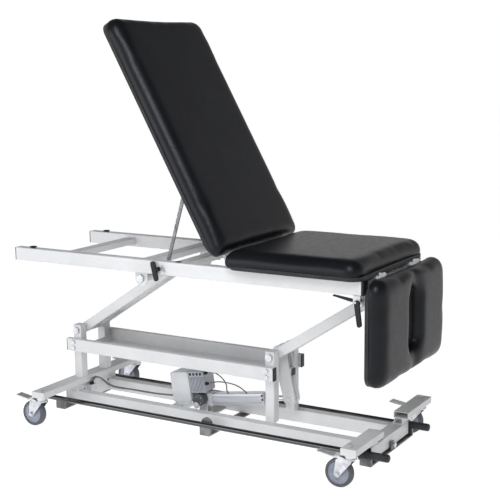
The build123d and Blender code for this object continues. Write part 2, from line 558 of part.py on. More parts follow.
def caster_wheel(x, y):
    """A wheel with a tread, a dished web and a bored hub."""
    half = WHEEL_WIDTH / 2
    bore = AXLE_RADIUS + PIN_CLEARANCE
    right_half = [(WHEEL_RADIUS, half - 6), (WHEEL_RADIUS - 5, half), (40.0, half - 1), (38.0, half - 5),
                  (16.0, half - 5), (14.0, half + 2), (bore, half + 2)]
    left_half = [(radius, -height) for radius, height in reversed(right_half)]
    profile = Polyline(*left_half, *right_half, close=True)
    wheel = revolve(Plane.XZ * make_face(profile.edges()), axis=Axis.Z)
    return Pos(x, y, WHEEL_RADIUS) * Rot(90, 0, 0) * wheel


def brake_pedal(x, y):
    """A foot pedal that turns on a pin in the fork."""
    pin = (x - PEDAL_PIN[0], PEDAL_PIN[1])
    pedal = strap_xz((pin, (x - 58.0, 108.0)), (5.5, 2.5), (y - 15.0, y + 15.0))
    pedal += strap_xz(((x - 56.0, 108.0), (x - 118.0, 117.0)), (2.5, 2.5), (y - 17.0, y + 17.0))
    return pedal - rod_y(pin[0], pin[1], (y - 30.0, y + 30.0), 3.0 + PIN_CLEARANCE)


def build():
    """Makes every node and writes one STEP file for each."""
    base_frame()
    posts_and_shelf()
    lift_arms()
    lift_lever()
    top_frame()
    sections()
    section_hinges()
    release_levers()
    foot_bars()
    actuator()
    control_cables()
    casters()
    os.makedirs("parts", exist_ok=True)
    for name, shape in nodes.items():
        export_step(shape, f"parts/{name}.step")
    print(len(nodes), "nodes")


build()
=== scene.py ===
import json
import math

import bmesh
import bpy
import numpy as np
from mathutils import Matrix, Vector


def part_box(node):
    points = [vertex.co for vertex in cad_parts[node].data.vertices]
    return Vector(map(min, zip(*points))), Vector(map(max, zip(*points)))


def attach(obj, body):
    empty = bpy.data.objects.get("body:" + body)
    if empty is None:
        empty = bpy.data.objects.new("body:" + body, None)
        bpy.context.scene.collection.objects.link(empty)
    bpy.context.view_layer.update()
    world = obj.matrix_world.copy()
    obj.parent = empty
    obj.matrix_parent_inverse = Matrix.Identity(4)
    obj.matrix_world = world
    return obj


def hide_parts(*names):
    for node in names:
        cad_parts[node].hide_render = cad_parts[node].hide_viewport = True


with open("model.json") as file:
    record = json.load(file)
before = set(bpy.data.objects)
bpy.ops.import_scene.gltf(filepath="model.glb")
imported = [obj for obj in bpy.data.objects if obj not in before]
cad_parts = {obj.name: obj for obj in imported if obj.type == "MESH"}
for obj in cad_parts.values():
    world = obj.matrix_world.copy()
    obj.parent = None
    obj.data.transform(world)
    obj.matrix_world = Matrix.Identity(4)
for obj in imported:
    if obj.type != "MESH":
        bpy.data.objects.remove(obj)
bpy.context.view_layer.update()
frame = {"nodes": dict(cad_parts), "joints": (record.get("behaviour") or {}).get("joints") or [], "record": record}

# ---- sizes repeated from the CAD source, in metres and degrees ----
BACK_RAISED = 61.0
HEAD_HANGING = 90.0
CABLE_RADIUS = 0.003
# the control points of the two control cables, in millimetres
NEAR_CABLE = [(-604, -54, 110.2), (-604, -54, 131), (-585, -53, 148), (-556, -52, 146), (-531, -51, 128),
              (-502, -50, 115), (-462, -49, 113), (-402, -48, 116), (-322, -48, 115), (-252, -47, 116),
              (-194, -46, 121)]
FAR_CABLE = [(-604, -42, 110.2), (-604, -42, 127), (-586, -41, 142), (-562, -40, 141), (-536, -39, 125),
             (-506, -38, 113), (-464, -37, 111), (-402, -37, 113), (-324, -36, 112), (-254, -36, 114),
             (-194, -36, 119)]
JOINTS = {joint["name"]: joint for joint in frame["joints"]}

# ---- sizes of the visual pieces, in metres ----
VOXEL = 0.006  # cell of the pads' remeshing
SWELL_CAP = 0.009  # the furthest that a point of a pad is blown out
SWELL_ROOM = 0.005  # left below the CAD cushion's top for the swelling
PAD_MARGIN = 0.002  # from the CAD cushion's sides and free ends
PAD_REACH = 0.006  # beyond the CAD cushion's end, where it meets the next pad
PAD_BOTTOM_EDGE = 0.014
PAD_TOP_EDGE = 0.036
PULL_IN_X = 0.0065  # the most that a pad's free end is drawn in
PULL_IN_Y = 0.003  # the most that a pad's sides are drawn in
RELAX_STEPS = 34
ROD_BORE = 0.0114  # radius of the actuator tube's bore
LEAD_RADIUS = 0.0024  # of the two cables between the control box and the actuator
EDGE_WIDTH = 0.0006  # of the small bevel on painted and black plastic CAD nodes

# ---- studio values, fitted to the photo ----
FLOOR_GLOW = 0.88
CAMERA_PLACE = (2.1989, -3.5330, 1.4215)
CAMERA_AZIMUTH = 30.31  # degrees, from the near side towards +X
CAMERA_PITCH = 9.67  # degrees down from level
CAMERA_ROLL = -0.53
CAMERA_LENS = 79.44  # millimetres, on a sensor 36 mm wide


def mm(*point):
    """A point given in millimetres, in metres."""
    return Vector(point) / 1000.0


# ---- materials ----
def texture_tree(name):
    """A new material with its shader, object coordinates and two helpers that add and join nodes."""
    made = bpy.data.materials.new(name)
    made.use_nodes = True
    tree = made.node_tree
    shader = tree.nodes["Principled BSDF"]

    def add(kind, **values):
        node = tree.nodes.new(kind)
        for key, value in values.items():
            if isinstance(getattr(node, key, None), (str, bool)):
                setattr(node, key, value)
            else:
                node.inputs[key].default_value = value
        return node

    def join(source, socket):
        tree.links.new(source, socket)

    coords = add("ShaderNodeTexCoord").outputs["Object"]
    return made, shader, coords, add, join


def surface(name, dark, light, rough, spread=0.06, patch=7.0, metallic=0.0, grain="noise", grain_scale=500.0,
            grain_depth=0.0001, stretch=(1.0, 1.0, 1.0), waves=None, coat=0.0, sheen=0.0, specular=0.5):
    """A procedural finish: blotches of colour, uneven gloss and a fine relief at its real scale."""
    made, shader, coords, add, join = texture_tree(name)
    shader.inputs["Metallic"].default_value = metallic
    shader.inputs["Coat Weight"].default_value = coat
    shader.inputs["Coat Roughness"].default_value = 0.12
    shader.inputs["Sheen Weight"].default_value = sheen
    shader.inputs["Specular IOR Level"].default_value = specular
    place = add("ShaderNodeMapping", Scale=stretch)
    join(coords, place.inputs["Vector"])
    blotch = add("ShaderNodeTexNoise", Scale=patch, Detail=5.0, Roughness=0.6)
    join(place.outputs["Vector"], blotch.inputs["Vector"])
    ramp = add("ShaderNodeValToRGB")
    ramp.color_ramp.elements[0].position = 0.36
    ramp.color_ramp.elements[1].position = 0.64
    ramp.color_ramp.elements[0].color = (*dark, 1.0)
    ramp.color_ramp.elements[1].color = (*light, 1.0)
    join(blotch.outputs["Fac"], ramp.inputs["Fac"])
    join(ramp.outputs["Color"], shader.inputs["Base Color"])
    uneven = add("ShaderNodeTexNoise", Scale=patch * 5.0, Detail=3.0)
    join(coords, uneven.inputs["Vector"])
    gloss = add("ShaderNodeMapRange")
    for socket, value in zip(list(gloss.inputs)[1:5], (0.3, 0.7, rough - spread, rough + spread)):
        socket.default_value = value
    join(uneven.outputs["Fac"], gloss.inputs["Value"])
    join(gloss.outputs["Result"], shader.inputs["Roughness"])
    relief = add("ShaderNodeBump", Strength=1.0, Distance=grain_depth)
    if grain == "noise":
        height = add("ShaderNodeTexNoise", Scale=grain_scale, Detail=3.0)
        out = height.outputs["Fac"]
    else:
        height = add("ShaderNodeTexVoronoi", feature=grain, Scale=grain_scale)
        out = height.outputs["Distance"]
    join(place.outputs["Vector"], height.inputs["Vector"])
    join(out, relief.inputs["Height"])
    if waves:
        swell = add("ShaderNodeTexNoise", Scale=waves[0], Detail=2.0)
        join(coords, swell.inputs["Vector"])
        broad = add("ShaderNodeBump", Strength=1.0, Distance=waves[1])
        join(swell.outputs["Fac"], broad.inputs["Height"])
        join(broad.outputs["Normal"], relief.inputs["Normal"])
    join(relief.outputs["Normal"], shader.inputs["Normal"])
    return made


POWDER = surface("powder_coat", (0.60, 0.602, 0.605), (0.67, 0.672, 0.675), 0.42, grain_scale=420.0,
                 grain_depth=0.00012, patch=5.0)
VINYL = surface("vinyl", (0.0052, 0.0056, 0.0076), (0.0074, 0.0079, 0.0104), 0.35, spread=0.03, patch=9.0,
                grain="DISTANCE_TO_EDGE", grain_scale=620.0, grain_depth=0.00008, waves=(9.0, 0.0004),
                specular=0.20)
PLASTIC = surface("moulded_plastic", (0.006, 0.006, 0.007), (0.012, 0.012, 0.013), 0.46, grain_scale=1300.0,
                  grain_depth=0.00006, specular=0.3)
RUBBER = surface("rubber", (0.011, 0.011, 0.012), (0.024, 0.024, 0.025), 0.6, grain_scale=900.0,
                 grain_depth=0.0002, patch=20.0)
GLOSS_BLACK = surface("gloss_black", (0.004, 0.004, 0.005), (0.008, 0.008, 0.009), 0.14, spread=0.04,
                      grain_scale=260.0, grain_depth=0.00004, coat=1.0)
# dark steel; on the rocker straps this darkness is painted shade, standing in for the shadow on their side faces
STEEL_AND_PAINTED_SHADE = surface("dull_steel_and_painted_shade", (0.13, 0.13, 0.14), (0.25, 0.25, 0.26), 0.45, spread=0.08, metallic=0.8,
                patch=30.0, grain_scale=420.0, grain_depth=0.00008)
ZINC = surface("zinc", (0.52, 0.53, 0.56), (0.74, 0.75, 0.77), 0.33, spread=0.1, metallic=1.0, patch=45.0,
               grain="F1", grain_scale=240.0, grain_depth=0.00004)
HOUSING = surface("grey_housing", (0.53, 0.54, 0.56), (0.62, 0.63, 0.64), 0.44, grain_scale=1100.0,
                  grain_depth=0.00007)
RIBS = surface("rib_grey", (0.38, 0.39, 0.43), (0.48, 0.49, 0.54), 0.5, grain_scale=1100.0,
               grain_depth=0.00007)
EXTRUSION = surface("anodised_extrusion", (0.50, 0.51, 0.55), (0.66, 0.67, 0.71), 0.38, metallic=0.75,
                    stretch=(0.02, 1.0, 1.0), patch=60.0, grain_scale=900.0, grain_depth=0.00005)
CASTING = surface("dark_casting", (0.045, 0.045, 0.048), (0.085, 0.085, 0.09), 0.55, grain_scale=700.0,
                  grain_depth=0.0002, patch=24.0)
CABLE = surface("cable_sheath", (0.10, 0.10, 0.105), (0.16, 0.16, 0.165), 0.5, grain_scale=900.0,
                grain_depth=0.00005, patch=30.0)
TREAD = surface("wheel_tread", (0.070, 0.071, 0.082), (0.105, 0.106, 0.120), 0.68, grain_scale=700.0,
                grain_depth=0.0002, patch=26.0)
HUB = surface("wheel_hub", (0.22, 0.24, 0.30), (0.30, 0.32, 0.39), 0.42, grain_scale=1000.0,
              grain_depth=0.00006, patch=18.0)
BACKING = surface("backing_cloth", (0.009, 0.009, 0.010), (0.020, 0.020, 0.021), 0.8, patch=14.0,
                  grain_scale=1500.0, grain_depth=0.0002, sheen=0.2)
STUDIO = surface("studio_floor", (0.50, 0.50, 0.50), (0.51, 0.51, 0.51), 0.9, grain_scale=60.0,
                 grain_depth=0.0001)
STUDIO_SHADER = STUDIO.node_tree.nodes["Principled BSDF"]
STUDIO_SHADER.inputs["Emission Color"].default_value = (1.0, 1.0, 1.0, 1.0)
STUDIO_SHADER.inputs["Emission Strength"].default_value = FLOOR_GLOW

# finishes of single nodes that differ from their slot's; the rocker straps' dark steel is painted shade, their
# shaded sides painted dark over the whole strap
NODE_FINISH = {"rocker_straps": STEEL_AND_PAINTED_SHADE, "back_struts": STEEL_AND_PAINTED_SHADE, "bar_switch": HOUSING}
SLOT_FINISH = {
    "white_powder_coat": POWDER, "black_plastic": PLASTIC, "black_rubber": RUBBER, "zinc_steel": ZINC,
    "wheel": TREAD, "black_vinyl": VINYL, "plywood": BACKING, "black_gloss_bar": GLOSS_BLACK,
    "grey_housing": HOUSING, "dark_casting": CASTING, "cable_grey": CABLE,
}


# ---- mesh helpers ----
def piece(name, verts, faces, finish, body, slot, smooth=35.0, placed=None):
    """A mesh piece that rides on a CAD body."""
    mesh = bpy.data.meshes.new(name)
    mesh.from_pydata([tuple(v) for v in verts], [], faces)
    work = bmesh.new()
    work.from_mesh(mesh)
    bmesh.ops.remove_doubles(work, verts=work.verts, dist=1e-6)
    bmesh.ops.recalc_face_normals(work, faces=work.faces)
    work.to_mesh(mesh)
    work.free()
    if placed is not None:
        mesh.transform(placed)
    mesh.materials.append(finish)
    mesh.shade_smooth()
    mesh.set_sharp_from_angle(angle=math.radians(smooth))
    made = bpy.data.objects.new(name, mesh)
    bpy.context.scene.collection.objects.link(made)
    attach(made, body)
    return made


def loft(rings, closed=False):
    """Vertices and faces of a skin over rings with the same number of points."""
    count = len(rings[0])
    verts = [point for ring in rings for point in ring]
    pairs = list(zip(range(len(rings)), range(1, len(rings))))
    if closed:
        pairs.append((len(rings) - 1, 0))
    faces = [(a * count + i, a * count + (i + 1) % count, b * count + (i + 1) % count, b * count + i)
             for a, b in pairs for i in range(count)]
    if not closed:
        faces.append(tuple(reversed(range(count))))
        faces.append(tuple((len(rings) - 1) * count + i for i in range(count)))
    return verts, faces


def merged(parts):
    """Several (vertices, faces) pairs as one."""
    verts, faces = [], []
    for part_verts, part_faces in parts:
        start = len(verts)
        verts += list(part_verts)
        faces += [tuple(i + start for i in face) for face in part_faces]
    return verts, faces


def rounded(a, b, radius, inset=0.0, steps=6):
    """The outline of a rounded rectangle, as pairs, drawn in from its limits by an inset.

    The radius is one value, or a pair of them for a's low and high ends.
    """
    (a0, a1), (b0, b1) = (a[0] + inset, a[1] - inset), (b[0] + inset, b[1] - inset)
    ends = radius if isinstance(radius, tuple) else (radius, radius)
    low, high = (max(value - inset, 0.0003) for value in ends)
    corners = ((a1 - high, b1 - high, high, 0), (a0 + low, b1 - low, low, 90),
               (a0 + low, b0 + low, low, 180), (a1 - high, b0 + high, high, 270))
    return [(ca + r * math.cos(math.radians(turn + 90.0 * i / steps)),
             cb + r * math.sin(math.radians(turn + 90.0 * i / steps)))
            for ca, cb, r, turn in corners for i in range(steps + 1)]


def arc_profile(low, high, edge_low, edge_high, steps=4):
    """(height, inset) pairs for a slab whose two edges are rounded."""
    start = [(low + edge_low * (1 - math.cos(math.radians(90.0 * i / steps))),
              edge_low * (1 - math.sin(math.radians(90.0 * i / steps)))) for i in range(steps + 1)]
    end = [(high - edge_high * (1 - math.cos(math.radians(90.0 * i / steps))),
            edge_high * (1 - math.sin(math.radians(90.0 * i / steps)))) for i in range(steps, -1, -1)]
    return start + end


def slab(a, b, c, radius, edge, order="xyz", extra=()):
    """A block with rounded corners and edges. order says which axes a, b and the thickness c lie along."""
    profile = arc_profile(c[0], c[1], edge, edge)
    profile = sorted(profile + list(extra), key=lambda pair: pair[0]) if extra else profile
    rings = []
    for height, inset in profile:
        ring = []
        for first, second in rounded(a, b, radius, inset):
            values = {order[0]: first, order[1]: second, order[2]: height}
            ring.append((values["x"], values["y"], values["z"]))
        rings.append(ring)
    return loft(rings)


def lathe(profile, centre, axis, segments=40, closed=False):
    """A turned shape: (radius, distance along the axis) pairs about a line through centre."""
    along = {"x": Vector((1, 0, 0)), "y": Vector((0, 1, 0)), "z": Vector((0, 0, 1))}[axis]
    side = Vector((0, 0, 1)) if axis != "z" else Vector((1, 0, 0))
    other = along.cross(side)
    rings = []
    for radius, distance in profile:
        ring = []
        for i in range(segments):
            turn = 2 * math.pi * i / segments
            outward = side * math.cos(turn) + other * math.sin(turn)
            ring.append(centre + along * distance + outward * radius)
        rings.append(ring)
    return loft(rings, closed)


def hollow(outer, inner, low, high):
    """A sleeve along X between two outlines with the same number of (y, z) points."""
    ends = ((low, outer), (high, outer), (high, inner), (low, inner))
    return loft([[(x, u, v) for u, v in line] for x, line in ends], closed=True)


def wire(name, points, radius, finish, body):
    """A round cable or wire on a smooth spline that follows its control points, given in millimetres."""
    data = bpy.data.curves.new(name, "CURVE")
    data.dimensions = "3D"
    data.bevel_depth = radius
    data.bevel_resolution = 4
    data.resolution_u = 12
    data.use_fill_caps = True
    spline = data.splines.new("NURBS")
    spline.points.add(len(points) - 1)
    for point, place in zip(spline.points, points):
        point.co = (*mm(*place), 1.0)
    spline.order_u = 3
    spline.use_endpoint_u = True
    data.materials.append(finish)
    made = bpy.data.objects.new(name, data)
    bpy.context.scene.collection.objects.link(made)
    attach(made, body)
    return made


def turn_about(hinge, degrees):
    """A turn about a hinge line along Y; a positive angle turns +X towards -Z."""
    place = Matrix.Translation(Vector(hinge))
    return place @ Matrix.Rotation(math.radians(degrees), 4, "Y") @ place.inverted()


def limits_of(nodes, turn):
    """Lowest and highest corners of CAD nodes once their turn is undone."""
    back = np.array(turn.inverted())
    points = np.array([v.co for n in nodes for v in frame["nodes"][n].data.vertices])
    points = points @ back[:3, :3].T + back[:3, 3]
    return points.min(0), points.max(0)


# ---- cushions ----
def inflate(pad, cap):
    """Blows the pad up a little with cloth simulation, each point moving no further than the cap."""
    rest = np.array([v.co for v in pad.data.vertices])
    cloth = pad.modifiers.new("Cloth", "CLOTH")
    cloth.settings.quality = 4
    cloth.settings.mass = 0.3
    cloth.settings.use_pressure = True
    cloth.settings.uniform_pressure_force = 4.0
    cloth.settings.effector_weights.gravity = 0.0
    frames = 20
    cloth.point_cache.frame_start = 1
    cloth.point_cache.frame_end = frames
    for step in range(1, frames + 1):
        bpy.context.scene.frame_set(step)
    solved = pad.evaluated_get(bpy.context.evaluated_depsgraph_get()).to_mesh()
    blown = np.array([v.co for v in solved.vertices])
    pad.modifiers.remove(cloth)
    bpy.context.scene.frame_set(1)
    move = blown - rest
    far = np.linalg.norm(move, axis=1, keepdims=True) + 1e-9
    return rest + move / far * cap * np.tanh(far / cap)


def make_cushion(name, body, hinge, raised, corner, meets=0, slot_box=None):
    """A pad wrapped round the edge of its board: remeshed, blown up, pulled in between its corners, relaxed.

    meets says which X end touches the next pad: -1 the low end, 1 the high end, 0 neither.
    """
    turn = turn_about(hinge, raised)
    low, high = limits_of([f"{name}_cushion"], turn)
    board_low, board_high = limits_of([f"{name}_board"], turn)
    bottom = board_low[2] + 0.0006
    span_x = (low[0] + (-PAD_REACH if meets < 0 else PAD_MARGIN),
              high[0] + (PAD_REACH if meets > 0 else -PAD_MARGIN))
    span_y = (low[1] + PAD_MARGIN, high[1] - PAD_MARGIN)
    rings = []
    for height, inset in arc_profile(bottom, high[2] - SWELL_ROOM, PAD_BOTTOM_EDGE, PAD_TOP_EDGE, steps=7):
        rings.append([(px, py, height) for px, py in rounded(span_x, span_y, corner, inset, 8)])
    pad = piece(f"{name}_pad", *loft(rings), VINYL, body, "black_vinyl", smooth=180.0)
    if slot_box:
        slot_x, slot_y, radius = slot_box
        flare = ((bottom - 0.02, -0.002), (bottom + 0.02, -0.003), (high[2] - 0.030, -0.004),
                 (high[2] - 0.022, -0.007), (high[2] - 0.014, -0.012), (high[2] - 0.008, -0.020),
                 (high[2] + 0.02, -0.06))
        tool_rings = [[(px, py, height) for px, py in rounded(slot_x, slot_y, radius, inset, 8)]
                      for height, inset in flare]
        tool = piece(f"{name}_slot_tool", *loft(tool_rings), VINYL, body, "black_vinyl")
        cut = pad.modifiers.new("slot", "BOOLEAN")
        cut.operation = "DIFFERENCE"
        cut.solver = "EXACT"
        cut.object = tool
    voxel = pad.modifiers.new("even", "REMESH")
    voxel.mode = "VOXEL"
    voxel.voxel_size = VOXEL
    shaped = bpy.data.meshes.new_from_object(pad.evaluated_get(bpy.context.evaluated_depsgraph_get()))
    pad.modifiers.clear()
    pad.data = shaped
    if slot_box:
        bpy.data.objects.remove(tool)
    points = np.array([v.co for v in pad.data.vertices])
    points = inflate(pad, SWELL_CAP)
    half_x, half_y = (high[0] - low[0]) / 2, (high[1] - low[1]) / 2
    across = (points[:, 0] - (low[0] + high[0]) / 2) / half_x
    along = points[:, 1] / half_y
    free_end = np.where(np.sign(across) == meets, 0.0, 1.0)
    side_hold = np.clip(1 - along ** 2, 0, 1)
    end_hold = np.clip(1 - across ** 2, 0, 1)
    points[:, 0] -= np.sign(across) * free_end * PULL_IN_X * np.abs(across) ** 6 * side_hold
    points[:, 1] -= np.sign(along) * PULL_IN_Y * np.abs(along) ** 6 * end_hold
    points[:, 2] = np.maximum(points[:, 2], bottom)
    pad.data.vertices.foreach_set("co", points.astype(np.float32).ravel())
    pad.data.transform(turn)
    pad.data.update()
    pad.data.shade_smooth()
    relax = pad.modifiers.new("relax", "SMOOTH")
    relax.factor = 0.5
    relax.iterations = RELAX_STEPS
    smooth = pad.modifiers.new("smooth", "SUBSURF")
    smooth.levels = smooth.render_levels = 1
    pad.data.materials.clear()
    pad.data.materials.append(VINYL)
    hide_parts(f"{name}_cushion")
    underside(name, body, turn, board_low, board_high)


def underside(name, body, turn, low, high):
    """The vinyl turned in under the board, and the staples that hold it."""
    rings = []
    for inset, height in ((0.0005, -0.0002), (0.0005, -0.0009), (0.030, -0.0009), (0.031, -0.0002)):
        outline = rounded((low[0], high[0]), (low[1], high[1]), 0.045, inset, 8)
        rings.append([(px, py, low[2] + height) for px, py in outline])
    piece(f"{name}_turned_in_vinyl", *loft(rings, closed=True), VINYL, body, "black_vinyl", placed=turn)
    border, corner_gap, spacing = 0.024, 0.06, 0.045
    along_x = (low[0] + corner_gap, high[0] - corner_gap)
    along_y = (low[1] + corner_gap, high[1] - corner_gap)
    rows = ((low[1] + border, along_x, "xyz"), (high[1] - border, along_x, "xyz"),
            (low[0] + border, along_y, "yxz"), (high[0] - border, along_y, "yxz"))
    staples = []
    for fixed, (start, end), order in rows:
        for step in np.linspace(start, end, int((end - start) / spacing)):
            staples.append(slab((step - 0.005, step + 0.005), (fixed - 0.0005, fixed + 0.0005),
                                (low[2] - 0.0015, low[2] - 0.0008), 0.0004, 0.0002, order))
    piece(f"{name}_staples", *merged(staples), ZINC, body, "zinc_steel", placed=turn)


def cushions():
    """The three pads: centre, back and head, the last with its face slot."""
    hinge = JOINTS["back_tilt"]["pos_m"]
    make_cushion("centre", "top_frame", hinge, 0.0, (0.030, 0.055), -1)
    make_cushion("back", "back_section", hinge, BACK_RAISED, (0.058, 0.030), 1)
    hinge = JOINTS["head_tilt"]["pos_m"]
    low = limits_of(["head_cushion"], turn_about(hinge, HEAD_HANGING))[0]
    slot_middle, half_length, half_width = low[0] + 0.188, 0.116, 0.036
    slot_box = ((slot_middle - half_length, slot_middle + half_length), (-half_width, half_width), half_width)
    make_cushion("head", "head_section", hinge, HEAD_HANGING, 0.058, 0, slot_box)


# ---- casters and foot bars ----
def casters():
    """Each wheel as a tread on a ringed hub, with the fork's outer cheeks and the axle's nuts."""
    half_tread = [(51.0, 3.0), (50.6, 9.0), (48.6, 13.2), (45.0, 15.0), (40.0, 14.2), (38.2, 12.0)]
    tread = [(r / 1000, -h / 1000) for r, h in reversed(half_tread)]
    tread += [(r / 1000, h / 1000) for r, h in half_tread]
    half_hub = [(38.4, 12.4), (36.0, 12.6), (34.6, 10.4), (29.0, 9.6), (28.0, 11.0), (25.0, 11.0),
                (24.0, 9.4), (17.0, 10.0), (15.0, 14.5), (13.4, 16.8), (5.1, 16.8)]
    hub = [(r / 1000, h / 1000) for r, h in half_hub] + [(r / 1000, -h / 1000) for r, h in reversed(half_hub)]
    foot_radius = 0.011
    foot = []
    for degrees in range(-55, 96, 15):
        bend = math.radians(degrees)
        foot.append((-foot_radius * math.sin(bend), -foot_radius * math.cos(bend)))
    cheek = [(0.054, 0.0526), (0.052, 0.046), *foot, (-0.009, 0.022), (-0.004, 0.0526)]
    for name, joint in JOINTS.items():
        if not name.startswith("roll_"):
            continue
        place = name[len("roll_"):]
        centre = Vector(joint["pos_m"])
        wheel, fork = f"wheel_{place}", f"fork_{place}"
        tyre = piece(f"tread_{place}", *lathe(tread, centre, "y", 64, True), TREAD, wheel, "wheel", 40.0)
        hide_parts(f"caster_wheel_{place}")
        piece(f"hub_{place}", *lathe(hub, centre, "y", 64, True), HUB, wheel, "wheel", 30.0)
        nuts, cheeks = [], []
        for side in (-1, 1):
            profile = [(0.0002, side * 0.0225), (0.0075, side * 0.0225), (0.0083, side * 0.0232),
                       (0.0083, side * 0.0275), (0.0075, side * 0.0285), (0.0002, side * 0.0285)]
            nuts.append(lathe(profile, centre, "y", 6))
            cheeks.append(loft([[(centre.x + u, centre.y + side * y, centre.z + v) for u, v in cheek]
                                for y in (0.0213, 0.0224)]))
        piece(f"axle_nuts_{place}", *merged(nuts), ZINC, fork, "zinc_steel", 20.0)
        piece(f"fork_cheeks_{place}", *merged(cheeks), ZINC, fork, "zinc_steel", 25.0)


def foot_bar_grips():
    """Ribbed rubber grips with a domed end on the two bars, and a plug in each bar's other end."""
    low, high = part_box("bar_grips")
    radius = (high.z - low.z) / 2
    length = high.x - low.x
    profile = [(radius * 0.78, 0.0), (radius * 0.96, 0.0015), (radius, 0.004)]
    first_groove, groove_spacing, groove_depth = 0.012, 0.007, 0.0012
    root = radius - groove_depth
    for groove in range(5):
        at = first_groove + groove_spacing * groove
        profile += [(radius, at), (root, at + 0.001), (root, at + 0.003), (radius, at + 0.004)]
    profile += [(radius, length - 0.007), (radius * 0.93, length - 0.0025), (radius * 0.7, length - 0.0004),
                (0.0005, length)]
    profile = [(0.0108, 0.0004)] + profile
    for name, y in (("near", low.y + radius), ("far", high.y - radius)):
        centre = Vector((low.x, y, (low.z + high.z) / 2))
        grip = piece(f"bar_grip_{name}", *lathe(profile, centre, "x", 40), RUBBER, "bar_rocker",
                     "black_rubber", 30.0)
        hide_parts("bar_grips")
        bar_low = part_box("foot_bars")[0]
        plug = [(0.0005, 0.0006), (0.0072, 0.0006), (0.0082, 0.0014), (0.0082, 0.004), (0.0005, 0.004)]
        end = Vector((bar_low.x - 0.0022, y, centre.z))
        piece(f"bar_end_plug_{name}", *lathe(plug, end, "x", 28), PLASTIC, "bar_rocker", "black_plastic")


# ---- actuator ----
def on_actuator(name, parts, finish, slot, smooth=35.0):
    """A piece given in the actuator's own tilt, with X along its tube from the rear pivot."""
    pivot = Vector(JOINTS["actuator_swing"]["pos_m"])
    axis = Vector(JOINTS["rod_slide"]["axis"])
    tilt = turn_about(pivot, -math.degrees(math.atan2(axis.z, axis.x))) @ Matrix.Translation(pivot)
    return piece(name, *merged(parts), finish, "actuator", slot, smooth, tilt)


def actuator_tube():
    """The extruded tube: square, with two grooves along each face and a round bore for the rod."""
    half, corner_radius, notch = 0.023, 0.004, 0.0014
    marks = [-0.013, -0.0118, -0.0112, -0.0092, -0.0086, 0.0086, 0.0092, 0.0112, 0.0118, 0.013]
    depths = [0, 0, notch, notch, 0, 0, notch, notch, 0, 0]
    sides = []
    for turn in range(4):
        angle = math.radians(90.0 * turn)
        run = [(mark, half - depth) for mark, depth in zip(marks, depths)]
        for degrees in (0, 30, 60):
            bend = math.radians(degrees)
            run.append((half - corner_radius + corner_radius * math.sin(bend),
                        half - corner_radius + corner_radius * math.cos(bend)))
        cos, sin = math.cos(angle), math.sin(angle)
        for u, v in run:
            sides.append((u * cos + v * sin, -u * sin + v * cos))
    bore_start = -0.6  # radians, about where the sides start
    bore = []
    for i in range(len(sides)):
        angle = 2 * math.pi * (i + 0.5) / len(sides) + bore_start
        bore.append((ROD_BORE * math.sin(angle), ROD_BORE * math.cos(angle)))
    skin = hollow(sides, bore, 0.0356, 0.272)
    tube = on_actuator("actuator_tube", [skin], EXTRUSION, "grey_housing", 25.0)
    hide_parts("actuator_housing")


def actuator_castings():
    """The rear casting with its eye and collar, and the front cap with its two screws."""
    bracket = slab((-0.0255, 0.0255), (-0.0255, 0.0255), (0.022, 0.0352), 0.006, 0.0010, "yzx")
    collar_outer = rounded((-0.0255, 0.0255), (-0.0255, 0.0255), 0.006)
    collar_inner = rounded((-0.0232, 0.0232), (-0.0232, 0.0232), 0.0041)
    collar = hollow(collar_outer, collar_inner, 0.0345, 0.0462)
    eye = [(0.0051, -0.0125), (0.0110, -0.0125), (0.0120, -0.0115), (0.0120, 0.0115), (0.0110, 0.0125),
           (0.0051, 0.0125)]
    lug = lathe(eye, Vector((0, 0, 0)), "y", 36, True)
    web = slab((0.0085, 0.024), (-0.0115, 0.0115), (-0.0122, 0.0122), 0.001, 0.0008, "xzy")
    on_actuator("actuator_rear_casting", [bracket, collar, lug, web], HOUSING, "grey_housing", 30.0)
    cap_outer = rounded((-0.0235, 0.0235), (-0.0235, 0.0235), 0.0045, 0.0, 6)
    cap_inner = []
    for i in range(len(cap_outer)):
        angle = math.radians(360.0 * (i + 0.5) / len(cap_outer))
        cap_inner.append((ROD_BORE * math.cos(angle), ROD_BORE * math.sin(angle)))
    front_cap = hollow(cap_outer, cap_inner, 0.2718, 0.2795)
    on_actuator("actuator_front_cap", [front_cap], HOUSING, "grey_housing", 30.0)
    screw = [(0.0002, -0.0010), (0.0040, -0.0010), (0.0046, -0.0003), (0.0046, 0.002), (0.0002, 0.002)]
    plugs = [lathe(screw, Vector((0.2735, -0.0232, z)), "y", 24) for z in (-0.0005, 0.0150)]
    on_actuator("actuator_cap_screws", plugs, PLASTIC, "black_plastic")


def gear_motor():
    """The motor's ringed body, the screws in its near end and the round knuckle below them."""
    motor = [(0.0002, -0.058), (0.019, -0.058), (0.0225, -0.056), (0.024, -0.052), (0.024, -0.047),
             (0.0228, -0.0465), (0.0228, -0.0445), (0.024, -0.044), (0.024, -0.0262), (0.0205, -0.0256),
             (0.0205, -0.0245), (0.0002, -0.0245)]
    motor_x, motor_z, screw_circle = 0.004, 0.008, 0.0145
    barrel = lathe(motor, Vector((motor_x, 0, motor_z)), "y", 48)
    body = on_actuator("motor_body", [barrel], CASTING, "dark_casting", 30.0)
    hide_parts("actuator_motor")
    screw = [(0.0002, -0.0012), (0.0018, -0.0012), (0.0022, -0.0006), (0.0022, 0.001), (0.0002, 0.001)]
    screws = []
    for angle in (0.6, 2.2, 3.75, 5.3):
        centre = Vector((motor_x + screw_circle * math.cos(angle), -0.058,
                         motor_z + screw_circle * math.sin(angle)))
        screws.append(lathe(screw, centre, "y", 14))
    on_actuator("motor_screws", screws, ZINC, "zinc_steel")
    profile = [(0.0002, -0.0615), (0.0100, -0.0615), (0.0122, -0.0600), (0.0122, -0.0565), (0.0002, -0.0565)]
    knuckle = lathe(profile, Vector((-0.0085, 0, -0.0130)), "y", 36)
    on_actuator("motor_knuckle", [knuckle], HOUSING, "grey_housing", 30.0)


